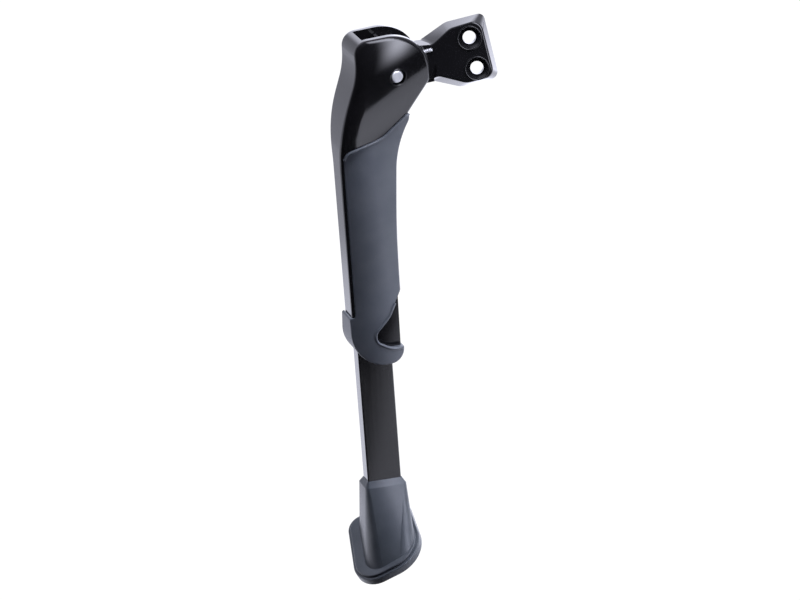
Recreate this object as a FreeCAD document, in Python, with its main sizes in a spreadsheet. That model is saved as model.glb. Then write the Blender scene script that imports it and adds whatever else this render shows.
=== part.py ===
import FreeCAD, Part

import math
import os

import Sketcher
from FreeCAD import Vector

# Bicycle kickstand for a rear frame plate with two bolts.
# The frame is in millimetres with Z up, seen from the side that faces away from the bicycle.
# The origin lies on the clamping face, halfway between the two bolt holes.
# The leg side turns on an oblique pin, so it is drawn in a frame of its own, the leg's frame:
# its origin is the middle of the pivot pin, Y runs along the pin away from the viewer,
# and Z points up along the leg.

# Driving dimensions: name, value in millimetres or degrees, and what it is
SIZES = [
    # Mounting plate, from the middle between its bolt holes
    ("bolt_spacing", 18, "distance between the two bolt holes"),
    ("bolt_hole", 7.6, "diameter of a bolt hole"),
    ("bolt_sink", 13.4, "diameter of its countersink at the front face"),
    ("plate_thickness", 9, "thickness of the mounting plate"),
    ("plate_right", 11.1, "right side at the clamping face"),
    ("plate_top", 19.9, "top side at the clamping face"),
    ("plate_bottom", 18.6, "bottom side at the clamping face"),
    ("front_right", 8.5, "right side at the front face"),
    ("front_top", 17.9, "top side at the front face"),
    ("front_bottom", 15.7, "bottom side at the front face"),
    ("waist_start", 11.2, "left end of the plate's level sides"),
    ("neck_start", 26.8, "where the neck becomes level"),
    ("neck_top", 13.8, "top of the neck at the clamping face"),
    ("neck_bottom", 10.7, "bottom of the neck at the clamping face"),
    ("front_waist", 7.4, "left end of the level sides at the front face"),
    ("front_neck", 21.2, "where the neck becomes level at the front face"),
    ("front_neck_top", 10.3, "top of the neck at the front face"),
    ("front_neck_bottom", 8.1, "bottom of the neck at the front face"),
    ("plate_left", 32, "left end of the plate, inside the slot"),
    ("seat_left", 26.5, "left end of the clamping face"),
    ("seat_step", 0.6, "step down from the clamping face to the arm"),
    ("plate_corner", 4.5, "rounding of the plate's corners"),
    ("waist_bend", 10, "rounding of the bends towards the neck"),
    ("plate_edge", 1.4, "rounding round the front face"),
    # Pivot pin and hub
    ("pivot_left", 48.1, "pivot to the left of the origin"),
    ("pivot_front", 10.4, "pivot in front of the clamping face"),
    ("pivot_up", 2.6, "pivot above the origin"),
    ("leg_yaw", 18.7, "turn of the leg's frame about the upright"),
    ("leg_pitch", 5.5, "its pitch"),
    ("leg_roll", 14.7, "its roll"),
    ("hub_width", 13, "thickness of the hub and its arm"),
    ("hub_radius", 16.5, "radius of the hub"),
    ("tooth_height", 5.2, "height of the stop tooth over the hub"),
    ("tooth_angle", 105, "direction of the stop tooth"),
    ("tooth_width", 16, "angle that the tooth's foot covers"),
    ("arm_top", 12, "top of the arm over the pivot"),
    ("arm_bottom", 9.5, "bottom of the arm under the pivot"),
    ("arm_reach", 24, "length of the arm from the pivot"),
    ("pin_diameter", 8, "diameter of the pivot pin"),
    ("pin_dome", 1.3, "rounding of the pin's ends"),
    ("bush_wall", 1.21, "wall of the bush in the hub"),
    ("running_gap", 0.04, "gap between the pin and the bush"),
    ("press_gap", 0.02, "gap round a fixed pin"),
    ("washer_thickness", 0.75, "thickness of a thrust washer"),
    ("washer_diameter", 22, "diameter of a thrust washer"),
    ("side_play", 0.1, "play between a thrust washer and its cheek"),
    ("cheek_play", 0.4, "gap between the cheeks and the arm where they sweep past it"),
    ("hub_play", 0.5, "gap between the hub and the housing"),
    ("stop_pin_diameter", 2.2, "diameter of the stop pin"),
    ("stop_pin_height", 8, "stop pin above the origin"),
    ("stop_pin_end", 21.8, "its end to the left of the origin"),
    ("stop_pin_length", 11, "its length"),
    # Detent between hub and housing
    ("fold_angle", 94, "turn from folded to standing"),
    ("detent_angle", 252, "direction of the plunger from the pivot"),
    ("notch_depth", 1.2, "depth of the two notches in the hub"),
    ("plunger_diameter", 7, "diameter of the plunger"),
    ("plunger_length", 12, "length of the plunger"),
    ("plunger_nose", 3.1, "rounding of its nose"),
    ("plunger_gap", 0.2, "gap round the plunger"),
    ("detent_depth", 46, "bottom of the plunger's bore from the pivot"),
    ("spring_wire", 1.1, "diameter of the spring's wire"),
    ("spring_turns", 7, "turns of the spring"),
    # Leg bar
    ("leg_offset", 23.1, "middle of the bar to the left of the pivot"),
    ("leg_width", 21.2, "width of the bar"),
    ("leg_thickness", 8, "thickness of the bar"),
    ("leg_setback", 0.6, "middle of the bar behind the pivot's middle"),
    ("leg_edge", 0.8, "rounding of the bar's long edges"),
    ("leg_top", 85, "top end of the bar under the pivot"),
    ("leg_bottom", 290, "bottom end of the bar under the pivot"),
    ("leg_gap", 0.25, "gap between the bar and its channel"),
    # Housing
    ("head_left", 24.4, "left side of the head from the pivot"),
    ("head_right", 20.3, "right side of the head"),
    ("head_top", 24.8, "top of the head"),
    ("head_corner", 25, "rounding of the head's top right corner"),
    ("head_back_corner", 8, "rounding of its top left corner"),
    ("head_heel", 6.7, "bottom end of the head's right side"),
    ("spine_face", 18.3, "inner face of the spine"),
    ("cheek_wall", 6.15, "cheek thickness at the crown, before its rounding"),
    ("cheek_rim", 2.3, "cheek thickness at the head's far top corner"),
    ("crown_radius", 120, "rounding along the crown"),
    ("throat_radius", 60, "rounding where the head meets the neck"),
    ("crown_place", 2, "crown above the pivot, across the contours"),
    ("throat_place", 26, "throat under the pivot, across the contours"),
    ("heel_bend", 6, "rounding of the head's lower right corner"),
    ("shoulder_radius", 43, "rounding of the left side's upper bend"),
    ("hip_radius", 100, "rounding of the left side's lower bend"),
    ("neck_radius", 60, "rounding of the right side at the neck"),
    ("waist_radius", 500, "rounding of the right side at the waist"),
    ("tooth_play", 7, "angle left behind the stop tooth when standing"),
    ("contour_angle", 27, "rise of the head's contours to the right"),
    ("back_shoulder", 5.3, "upper bend of the left side over the pivot"),
    ("back_hip", 27, "lower bend of the left side under the pivot"),
    ("channel_top", 52, "top of the leg's channel"),
    ("left_wall", 2.55, "wall to the left of the bar"),
    ("right_wall", 5.8, "wall to the right of the bar at the waist"),
    ("front_web", 1.35, "wall in front of the bar"),
    ("neck_rise", 3.5, "how far the right side stands out at the neck"),
    ("end_taper", 0.85, "how far the right side draws in at the bottom"),
    ("body_end", 171, "bottom end of the housing"),
    ("body_left_end", 156, "its bottom end on the left"),
    ("body_edge", 2.2, "rounding of the housing's outer edges"),
    ("pin_recess", 10.2, "diameter of the recess round the pin's end"),
    ("pin_land", 3.3, "cheek thickness under that recess"),
    # Cover
    ("cover_wall", 2.8, "front wall of the cover at the top"),
    ("cover_low_wall", 1.9, "front wall of the cover at the bottom"),
    ("cover_proud", 0.6, "how far the cover stands out of the housing"),
    ("cover_side", 1.5, "right wall of the cover"),
    ("cover_gap", 0.1, "gap between the cover and the housing"),
    ("cover_crown", 89, "radius of the cover's front across the leg"),
    ("cover_crest", 20, "crest of the crown to the left of the pivot"),
    ("cover_half_blank", 32, "half the width that the crown spans"),
    ("cover_tip", 7.4, "tip of the cover to the right of the pivot"),
    ("cover_top", 22.8, "tip of the cover under the pivot"),
    ("cover_bend", 36.6, "bend of its top seam under the pivot"),
    ("cover_bend_place", 11, "that bend to the left of the pivot"),
    ("cover_bend_radius", 18, "rounding of that bend"),
    ("cover_corner", 5, "rounding of the cover's left shoulder"),
    ("tip_round", 2, "rounding of the cover's tip"),
    ("tip_bottom", 29.4, "lower end of the cover's blunt tip"),
    ("skirt_top", 26.3, "end of the head's right side under the tip"),
    ("cover_round", 0.9, "rounding of the cover's front edges"),
    ("cover_shoulder", 41, "its left shoulder under the pivot"),
    ("cover_inset", 1.8, "strip of housing left of the cover"),
    ("cover_neck", 44, "neck of its right side under the pivot"),
    ("cover_waist", 93.4, "waist of its right side under the pivot"),
    ("cover_reach", 5.5, "how far its right wall reaches back"),
    ("collar_thickness", 9.1, "half the collar's thickness"),
    ("collar_bulge", 1.5, "how far the collar stands out on the left"),
    ("collar_top", 145.5, "top of the collar on the left"),
    ("collar_flare", 31, "length over which the cover thickens into the collar"),
    ("collar_side", 1, "right wall of the collar"),
    ("collar_round", 1.2, "rounding where the collar steps out on the left"),
    ("collar_corner", 8, "rounding of its lower right corner"),
    ("collar_sweep", 23, "rounding of its lower left corner"),
    ("collar_right_end", 178.8, "bottom of the collar on the right"),
    ("collar_left_end", 181, "bottom of the collar on the left, before its rounding"),
    ("window_top", 149.3, "upper bend of the window"),
    ("window_left", 27.5, "left tip of the window from the pivot"),
    ("window_bend", 14.4, "its upper bend to the left of the pivot"),
    ("window_floor", 13.5, "its lower bend to the left of the pivot"),
    ("window_round", 6, "rounding of its left tip"),
    ("window_tip", 161, "left tip of the window"),
    ("window_bottom", 170.2, "lower bend of the window"),
    # Fasteners in the housing
    ("clamp_screw", 6, "diameter of a clamp screw"),
    ("clamp_screw_length", 4, "length of a clamp screw"),
    ("clamp_boss", 12, "diameter of its boss"),
    ("clamp_boss_height", 3, "height of its boss"),
    ("clamp_place", 107, "middle of the two clamp screws"),
    ("clamp_spacing", 30, "distance between the clamp screws"),
    ("pad_width", 8, "width of the clamp pad"),
    ("pad_length", 60, "length of the clamp pad"),
    ("pad_thickness", 1, "thickness of the clamp pad"),
    ("cover_screw_size", 3, "diameter of the cover screw"),
    ("cover_screw_head", 5.5, "diameter of its head"),
    ("cover_screw_height", 1.7, "height of its head"),
    ("cover_screw_place", 61, "cover screw under the pivot"),
    ("cover_boss_length", 3, "length of the cover's screw boss"),
    ("cover_boss", 6, "diameter of the cover's screw boss"),
    # Foot
    ("foot_top", 257.2, "top of the foot under the pivot"),
    ("foot_slant", 5.5, "fall of the foot's top to the right"),
    ("foot_bevel", 3.5, "height of the bevel round its top"),
    ("foot_rim", 0.3, "rubber round the bar at the very top"),
    ("foot_wall", 2.8, "rubber round the bar in front and behind"),
    ("foot_side", 2.5, "rubber beside the bar"),
    ("foot_flare", 2.2, "rounding of the column's corners at the bevel"),
    ("sole_place", 300, "sole under the pivot on the bar's line"),
    ("sole_rise", 25.75, "rise of the sole to the right"),
    ("sole_tilt", 14.5, "rise of the sole to the back"),
    ("sole_turn", 15, "turn of the sole's outline in its own plane"),
    ("sole_left", 26.5, "sole to the left of the bar, at the front"),
    ("sole_back_left", 19.5, "sole to the left of the bar, at the back"),
    ("sole_right", 20, "sole to the right of the bar, at the front"),
    ("sole_back_right", 19.6, "sole to the right of the bar, at the back"),
    ("sole_front", 30, "sole in front of the bar, on the left"),
    ("sole_front_right", 28, "sole in front of the bar, on the right"),
    ("sole_back", 21.5, "sole behind the bar"),
    ("sole_toe", 14, "rounding of its front left corner"),
    ("sole_ball", 20.5, "rounding of its front right corner"),
    ("sole_corner", 9.5, "rounding of its two back corners"),
    ("sole_thickness", 5, "thickness of the sole"),
    ("sole_edge", 0.6, "rounding of the sole's upper rim"),
    ("step_inset", 1.8, "inset of the step on the sole"),
    ("step_height", 1.8, "height of the step"),
    ("heel_left", 18.5, "column to the left of the bar where it meets the sole, at the front"),
    ("heel_back_left", 13, "column to the left of the bar, at the back"),
    ("heel_right", 16, "column to the right of the bar, at the front"),
    ("heel_back_right", 18.8, "column to the right of the bar, at the back"),
    ("heel_front", 26.5, "column in front of the bar, on the left"),
    ("heel_front_right", 24.5, "column in front of the bar, on the right"),
    ("heel_back", 17, "column behind the bar"),
    ("heel_toe", 9, "rounding of its front left corner"),
    ("heel_ball", 15, "rounding of its front right corner"),
    ("heel_corner", 8, "rounding of its two back corners"),
    ("foot_pin_diameter", 3, "diameter of the foot's cross pin"),
    ("foot_pin_place", 272, "cross pin under the pivot"),
]

# A stretch that reaches past any face of the part
FAR = 60.0
# Length of a cut that has to pass right through
THROUGH = 500.0


class Size:
    """A number together with the sheet formula that gives it."""

    def __init__(self, value, formula):
        self.value = value
        self.formula = formula

    def __add__(self, other):
        return Size(self.value + number(other), f"({self.formula} + {formula(other)})")

    def __radd__(self, other):
        return self + other

    def __sub__(self, other):
        return Size(self.value - number(other), f"({self.formula} - {formula(other)})")

    def __rsub__(self, other):
        return Size(number(other) - self.value, f"({formula(other)} - {self.formula})")

    def __mul__(self, other):
        return Size(self.value * number(other), f"({self.formula} * {formula(other)})")

    def __rmul__(self, other):
        return self * other

    def __truediv__(self, other):
        return Size(self.value / number(other), f"({self.formula} / {formula(other)})")

    def __neg__(self):
        return Size(-self.value, f"(-{self.formula})")


def number(size):
    return size.value if isinstance(size, Size) else float(size)


def formula(size):
    return size.formula if isinstance(size, Size) else repr(float(size))


def cosine(angle):
    return Size(math.cos(math.radians(number(angle))), f"cos({formula(angle)})")


def sine(angle):
    return Size(math.sin(math.radians(number(angle))), f"sin({formula(angle)})")


doc = FreeCAD.newDocument("kickstand")
sheet = doc.addObject("Spreadsheet::Sheet", "Sizes")
dim = {}
for row, (alias, value, note) in enumerate(SIZES, start=1):
    sheet.set(f"A{row}", alias)
    sheet.set(f"B{row}", str(value))
    sheet.set(f"C{row}", note)
    sheet.setAlias(f"B{row}", alias)
    dim[alias] = Size(float(value), f"Sizes.{alias}")
doc.recompute()


def bind(thing, path, size):
    """Tie one property or constraint to a size."""
    thing.setExpression(path, formula(size))


def in_leg_frame(thing):
    """Give an object the leg's frame."""
    bind(thing, ".Placement.Base.x", -dim["pivot_left"])
    bind(thing, ".Placement.Base.y", -dim["pivot_front"])
    bind(thing, ".Placement.Base.z", dim["pivot_up"])
    bind(thing, ".Placement.Rotation.Yaw", dim["leg_yaw"])
    bind(thing, ".Placement.Rotation.Pitch", dim["leg_pitch"])
    bind(thing, ".Placement.Rotation.Roll", dim["leg_roll"])


def new_body(name, leg_frame=True):
    body = doc.addObject("PartDesign::Body", name)
    body.Label = name
    if leg_frame:
        in_leg_frame(body)
    return body


def new_sketch(body, name, plane="XZ_Plane", out=0, right=0, up=0, turn=(0, 0, 0)):
    """A sketch on one of the body's planes, moved out along its normal and turned in it.

    On the XZ plane the sketch reads X to the right and Z up, and out is towards the viewer.
    """
    sketch = body.newObject("Sketcher::SketchObject", name)
    role = [feature for feature in body.Origin.OriginFeatures if feature.Role == plane]
    sketch.AttachmentSupport = [(role[0], "")]
    sketch.MapMode = "FlatFace"
    for axis, size in zip("xyz", (right, up, out)):
        bind(sketch, f".AttachmentOffset.Base.{axis}", size)
    for axis, angle in zip(("Yaw", "Pitch", "Roll"), turn):
        bind(sketch, f".AttachmentOffset.Rotation.{axis}", angle)
    return sketch


def constrain(sketch, size, *what):
    """Add one constraint whose value is a size."""
    index = sketch.addConstraint(Sketcher.Constraint(*what, number(size)))
    if isinstance(size, Size):
        bind(sketch, f"Constraints[{index}]", size)


def place_point(sketch, geometry, point, x, y):
    constrain(sketch, x, "DistanceX", -1, 1, geometry, point)
    constrain(sketch, y, "DistanceY", -1, 1, geometry, point)


def outline(sketch, corners):
    """Draw a closed outline of straight lines through corners (x, y, rounding)."""
    count = len(corners)
    points = [Vector(number(x), number(y), 0) for x, y, rounding in corners]
    enters = []
    leaves = []
    arcs = {}
    for index, (x, y, rounding) in enumerate(corners):
        point = points[index]
        radius = number(rounding)
        if radius == 0:
            enters.append(point)
            leaves.append(point)
            continue
        back = (points[index - 1] - point).normalize()
        ahead = (points[(index + 1) % count] - point).normalize()
        half = back.getAngle(ahead) / 2
        enters.append(point + back * (radius / math.tan(half)))
        leaves.append(point + ahead * (radius / math.tan(half)))
        centre = point + (back + ahead).normalize() * (radius / math.sin(half))
        left_turn = back.cross(ahead).z < 0
        ends = (enters[-1], leaves[-1]) if left_turn else (leaves[-1], enters[-1])
        angles = [math.atan2(end.y - centre.y, end.x - centre.x) for end in ends]
        circle = Part.Circle(centre, Vector(0, 0, 1), radius)
        arcs[index] = (Part.ArcOfCircle(circle, *angles), left_turn)
    lines = []
    for index in range(count):
        line = Part.LineSegment(leaves[index], enters[(index + 1) % count])
        lines.append(sketch.addGeometry(line, False))
    for index, (x, y, rounding) in enumerate(corners):
        before = lines[index - 1]
        after = lines[index]
        if index not in arcs:
            sketch.addConstraint(Sketcher.Constraint("Coincident", before, 2, after, 1))
            place_point(sketch, after, 1, x, y)
            continue
        shape, left_turn = arcs[index]
        arc = sketch.addGeometry(shape, False)
        corner = sketch.addGeometry(Part.Point(points[index]), True)
        place_point(sketch, corner, 1, x, y)
        sketch.addConstraint(Sketcher.Constraint("PointOnObject", corner, 1, before))
        sketch.addConstraint(Sketcher.Constraint("PointOnObject", corner, 1, after))
        start, end = (1, 2) if left_turn else (2, 1)
        sketch.addConstraint(Sketcher.Constraint("Tangent", before, 2, arc, start))
        sketch.addConstraint(Sketcher.Constraint("Tangent", after, 1, arc, end))
        constrain(sketch, rounding, "Radius", arc)


def circle(sketch, x, y, diameter):
    shape = Part.Circle(Vector(number(x), number(y), 0), Vector(0, 0, 1), number(diameter) / 2)
    index = sketch.addGeometry(shape, False)
    place_point(sketch, index, 3, x, y)
    constrain(sketch, diameter, "Diameter", index)


def rectangle(sketch, left, right, bottom, top, rounding=0):
    outline(sketch, [(left, bottom, rounding), (right, bottom, rounding),
                     (right, top, rounding), (left, top, rounding)])


def extrude(kind, body, sketch, length, both_ways=False, reverse=False):
    feature = body.newObject(kind, sketch.Name + "_" + kind[12:].lower())
    feature.Profile = sketch
    feature.Type = "Length"
    feature.SideType = "Symmetric" if both_ways else "One side"
    feature.Reversed = reverse
    feature.Length = number(length)
    if isinstance(length, Size):
        bind(feature, "Length", length)
    doc.recompute()
    return feature


def pad(body, sketch, length, both_ways=False, reverse=False):
    """Add material: towards the sketch's normal, or the other way if reversed."""
    return extrude("PartDesign::Pad", body, sketch, length, both_ways, reverse)


def cut(body, sketch, length=THROUGH, both_ways=False, reverse=False):
    """Remove material: against the sketch's normal, or towards it if reversed."""
    before = body.Shape.Volume
    feature = extrude("PartDesign::Pocket", body, sketch, length, both_ways, reverse)
    if feature.Shape.Volume > before - 1e-3:
        raise RuntimeError(f"{feature.Name} removes nothing")
    return feature


def revolve(body, sketch, axis="V_Axis"):
    feature = body.newObject("PartDesign::Revolution", sketch.Name + "_turned")
    feature.Profile = sketch
    feature.ReferenceAxis = (sketch, [axis])
    feature.Angle = 360
    doc.recompute()
    return feature


def loft(body, sketches, ruled=False):
    feature = body.newObject("PartDesign::AdditiveLoft", sketches[0].Name + "_loft")
    feature.Profile = sketches[0]
    feature.Sections = sketches[1:]
    feature.Ruled = ruled
    doc.recompute()
    return feature


def fillet(body, edges, size):
    """Round the edges of the body's last feature whose middles pass a test."""
    base = body.Tip
    names = []
    for index, edge in enumerate(base.Shape.Edges, start=1):
        middle = edge.valueAt((edge.FirstParameter + edge.LastParameter) / 2)
        if edges(edge, middle):
            names.append(f"Edge{index}")
    if not names:
        raise RuntimeError(f"no edges to round on {body.Label}")
    feature = body.newObject("PartDesign::Fillet", f"{body.Label}_edges")
    feature.Base = (base, names)
    feature.Radius = number(size)
    bind(feature, "Radius", size)
    doc.recompute()
    return feature


# Places that several pieces share, in the leg's frame
hub_half = dim["hub_width"] / 2
slot_half = hub_half + dim["washer_thickness"] + dim["side_play"]
recess_face = slot_half + dim["pin_land"]
leg_left = dim["leg_offset"] + dim["leg_width"] / 2
leg_right = dim["leg_offset"] - dim["leg_width"] / 2
leg_front = dim["leg_thickness"] / 2 - dim["leg_setback"]
leg_back = dim["leg_thickness"] / 2 + dim["leg_setback"]
channel_left = leg_left + dim["leg_gap"]
channel_right = leg_right - dim["leg_gap"]
channel_front = leg_front + dim["leg_gap"]
channel_back = leg_back + dim["leg_gap"]
body_left = channel_left + dim["left_wall"]
floor_front = channel_front + dim["front_web"]
neck_half = floor_front + dim["cover_wall"] - dim["cover_proud"]
low_half = floor_front + dim["cover_low_wall"] - dim["cover_proud"]
profile_start = dim["head_top"] + dim["head_left"]
profile_end = dim["body_end"] + 40
body_waist = dim["right_wall"] - channel_right
body_low = body_waist - dim["end_taper"]
body_neck = body_waist + dim["neck_rise"]
body_skirt = dim["cover_tip"] - dim["cover_side"] - dim["cover_gap"]
bush_bore = dim["pin_diameter"] + dim["running_gap"] * 2
bush_diameter = bush_bore + dim["bush_wall"] * 2
plunger_bore = dim["plunger_diameter"] + dim["plunger_gap"] * 2
plunger_start = dim["hub_radius"] + dim["side_play"]
plunger_end = plunger_start + dim["plunger_length"]
notch_centre = dim["hub_radius"] - dim["notch_depth"] + plunger_bore / 2
strip_front = leg_back + dim["running_gap"]
strip_back = strip_front + dim["pad_thickness"]
boss_back = neck_half + dim["clamp_boss_height"]
cover_screw_across = (body_waist + dim["neck_rise"] / 2 - channel_right) / 2
screw_seat = neck_half - dim["cover_screw_height"] - dim["press_gap"]
boss_end = floor_front - dim["cover_boss_length"]
collar_left = body_left + dim["collar_bulge"]
collar_right = body_low + dim["collar_side"]
foot_pin_front = leg_front + dim["foot_wall"] / 3
foot_back = leg_back + dim["foot_wall"]


def make_plate():
    plate = new_body("plate_forging", leg_frame=False)
    back = new_sketch(plate, "clamping_face")
    outline(back, [
        (dim["plate_right"], dim["plate_top"], dim["plate_corner"] - 1),
        (dim["plate_right"], -dim["plate_bottom"], dim["plate_corner"]),
        (-dim["waist_start"], -dim["plate_bottom"], dim["waist_bend"]),
        (-dim["neck_start"], -dim["neck_bottom"], dim["plate_corner"]),
        (-dim["plate_left"], -dim["neck_bottom"], 0),
        (-dim["plate_left"], dim["neck_top"], 0),
        (-dim["neck_start"], dim["neck_top"], dim["waist_bend"]),
        (-dim["waist_start"], dim["plate_top"], dim["waist_bend"]),
    ])
    front = new_sketch(plate, "front_face", out=dim["plate_thickness"])
    outline(front, [
        (dim["front_right"], dim["front_top"], dim["plate_corner"] + 2),
        (dim["front_right"], -dim["front_bottom"], dim["plate_corner"] + 1),
        (-dim["front_waist"], -dim["front_bottom"], dim["waist_bend"]),
        (-dim["front_neck"], -dim["front_neck_bottom"], dim["plate_corner"]),
        (-dim["plate_left"], -dim["front_neck_bottom"], 0),
        (-dim["plate_left"], dim["front_neck_top"], 0),
        (-dim["front_neck"], dim["front_neck_top"], dim["waist_bend"]),
        (-dim["front_waist"] - 2, dim["front_top"] - 1, dim["waist_bend"]),
    ])
    loft(plate, [back, front])
    face = -number(dim["plate_thickness"])
    left = 1 - number(dim["plate_left"])
    fillet(plate, lambda edge, middle: abs(middle.y - face) < 0.01 and middle.x > left,
           dim["plate_edge"])
    holes = new_sketch(plate, "bolt_holes", out=dim["plate_thickness"])
    circle(holes, 0, dim["bolt_spacing"] / 2, dim["bolt_hole"])
    circle(holes, 0, -dim["bolt_spacing"] / 2, dim["bolt_hole"])
    hole = plate.newObject("PartDesign::Hole", "bolt_holes_drilled")
    hole.Profile = holes
    doc.recompute()
    hole.Threaded = False
    hole.DepthType = "ThroughAll"
    hole.HoleCutType = "Countersink"
    hole.HoleCutCustomValues = True
    hole.HoleCutCountersinkAngle = 90
    bind(hole, "Diameter", dim["bolt_hole"])
    bind(hole, "HoleCutDiameter", dim["bolt_sink"])
    doc.recompute()
    return plate


def make_hinge_arm():
    arm = new_body("hinge_arm")
    hub = new_sketch(arm, "hub")
    circle(hub, 0, 0, dim["hub_radius"] * 2)
    pad(arm, hub, dim["hub_width"], both_ways=True)
    tooth = new_sketch(arm, "stop_tooth")
    tip_radius = dim["hub_radius"] + dim["tooth_height"]
    half_foot = dim["tooth_width"] / 2
    half_tip = dim["tooth_width"] / 8
    around = [(dim["hub_radius"], -half_foot), (tip_radius, -half_tip),
              (tip_radius, half_tip), (dim["hub_radius"], half_foot)]
    corners = [(0, 0, 0)]
    for radius, angle in around:
        angle = dim["tooth_angle"] + angle
        corners.append((radius * cosine(angle), radius * sine(angle), 0))
    outline(tooth, corners)
    pad(arm, tooth, dim["hub_width"], both_ways=True)
    web = new_sketch(arm, "arm_outline")
    rectangle(web, 0, dim["arm_reach"], -dim["arm_bottom"], dim["arm_top"])
    pad(arm, web, dim["hub_width"], both_ways=True)
    notches = new_sketch(arm, "notches")
    for angle in (dim["detent_angle"], dim["detent_angle"] - dim["fold_angle"]):
        circle(notches, notch_centre * cosine(angle), notch_centre * sine(angle), plunger_bore)
    cut(arm, notches, both_ways=True)
    bore = new_sketch(arm, "bush_bore")
    circle(bore, 0, 0, bush_diameter)
    cut(arm, bore, both_ways=True)
    return arm


def make_box(name, left, right, front, back):
    """A block in the plate's frame, tall enough to trim the arm."""
    box = doc.addObject("Part::Box", name)
    bind(box, "Length", right - left)
    bind(box, "Width", back - front)
    box.Height = FAR * 2
    bind(box, ".Placement.Base.x", left)
    bind(box, ".Placement.Base.y", front)
    bind(box, ".Placement.Base.z", -FAR)
    return box


def make_cheek_room(name, out, reverse=False):
    """The space that one cheek sweeps while the leg unfolds."""
    room = new_body(name)
    face = new_sketch(room, name + "_circle", out=out)
    circle(face, 0, 0, (dim["head_top"] + dim["hub_play"]) * 2)
    pad(room, face, FAR, reverse=reverse)
    return room


def place_stop_pin(pin):
    bind(pin, ".Placement.Base.x", -dim["stop_pin_end"] - dim["stop_pin_length"])
    bind(pin, ".Placement.Base.y", -dim["plate_thickness"])
    bind(pin, ".Placement.Base.z", dim["stop_pin_height"])
    bind(pin, ".Placement.Rotation.Pitch", 90)


def make_mount_bracket():
    """The plate and the hub's arm are one forging.

    It is trimmed flush with the plate's two faces, and relieved where the cheeks sweep past.
    """
    forging = doc.addObject("Part::Fuse", "bracket_forging")
    forging.Base = make_plate()
    forging.Tool = make_hinge_arm()
    seat = make_box("seat_trim", -dim["seat_left"], FAR, 0, FAR)
    step = make_box("seat_step", -FAR * 2, -dim["seat_left"], -dim["seat_step"], FAR)
    face = make_box("front_trim", -dim["plate_left"], FAR,
                    -dim["plate_thickness"] - FAR, -dim["plate_thickness"])
    bore = doc.addObject("Part::Cylinder", "stop_pin_bore")
    bind(bore, "Radius", dim["stop_pin_diameter"] / 2 + dim["press_gap"])
    bind(bore, "Height", dim["stop_pin_length"])
    place_stop_pin(bore)
    trims = doc.addObject("Part::MultiFuse", "bracket_trims")
    relief = slot_half - dim["cheek_play"]
    front_room = make_cheek_room("front_cheek_room", relief)
    back_room = make_cheek_room("back_cheek_room", -relief, reverse=True)
    trims.Shapes = [seat, step, face, bore, front_room, back_room]
    bracket = doc.addObject("Part::Cut", "mount_bracket")
    bracket.Base = forging
    bracket.Tool = trims
    bracket.Label = "mount_bracket"
    doc.recompute()
    return bracket


def make_stop_pin():
    pin = new_body("stop_pin", leg_frame=False)
    half = new_sketch(pin, "stop_pin_half")
    radius = dim["stop_pin_diameter"] / 2
    outline(half, [(0, 0, 0), (radius, 0, 0),
                   (radius, dim["stop_pin_length"], radius * 0.8),
                   (0, dim["stop_pin_length"], 0)])
    revolve(pin, half)
    place_stop_pin(pin)
    return pin


def make_ring(name, out, inner, outer, length, both_ways=False, reverse=False):
    """A ring round the pivot pin."""
    ring = new_body(name)
    face = new_sketch(ring, name + "_ring", out=out)
    circle(face, 0, 0, outer)
    circle(face, 0, 0, inner)
    pad(ring, face, length, both_ways, reverse)
    return ring


def make_pivot_pin():
    pin = new_body("pivot_pin")
    half = new_sketch(pin, "pivot_pin_half", plane="XY_Plane")
    radius = dim["pin_diameter"] / 2
    reach = recess_face + dim["pin_dome"] / 2
    outline(half, [(0, -reach, 0), (radius, -reach, dim["pin_dome"]),
                   (radius, reach, dim["pin_dome"]), (0, reach, 0)])
    revolve(pin, half)
    return pin


def along_detent():
    """Turn of a sketch whose upright axis runs down the plunger's bore."""
    return (dim["detent_angle"] - 90, 0, 0)


def make_detent_plunger():
    plunger = new_body("detent_plunger")
    half = new_sketch(plunger, "plunger_half", turn=along_detent())
    radius = dim["plunger_diameter"] / 2
    outline(half, [(0, plunger_start, 0), (radius, plunger_start, dim["plunger_nose"]),
                   (radius, plunger_end, 0), (0, plunger_end, 0)])
    revolve(plunger, half)
    return plunger


def make_detent_spring():
    spring = new_body("detent_spring")
    start = plunger_end + dim["side_play"] + dim["spring_wire"] / 2
    end = dim["detent_depth"] - dim["side_play"] - dim["spring_wire"] / 2
    coil_radius = (dim["plunger_diameter"] - dim["spring_wire"] - dim["hub_play"]) / 2
    wire = new_sketch(spring, "spring_wire", turn=along_detent())
    circle(wire, coil_radius, start, dim["spring_wire"])
    coil = spring.newObject("PartDesign::AdditiveHelix", "spring_coil")
    coil.Profile = wire
    coil.ReferenceAxis = (wire, ["V_Axis"])
    coil.Mode = "height-turns-angle"
    bind(coil, "Height", end - start)
    bind(coil, "Turns", dim["spring_turns"])
    doc.recompute()
    return spring


def right_side(shift):
    """The housing's right side from the cover's tip down, moved out by a shift."""
    return [
        (body_skirt + shift, -dim["tip_bottom"], dim["heel_bend"]),
        (body_neck + shift, -dim["cover_neck"], dim["neck_radius"]),
        (body_waist + shift, -dim["cover_waist"], dim["waist_radius"]),
    ]


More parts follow.
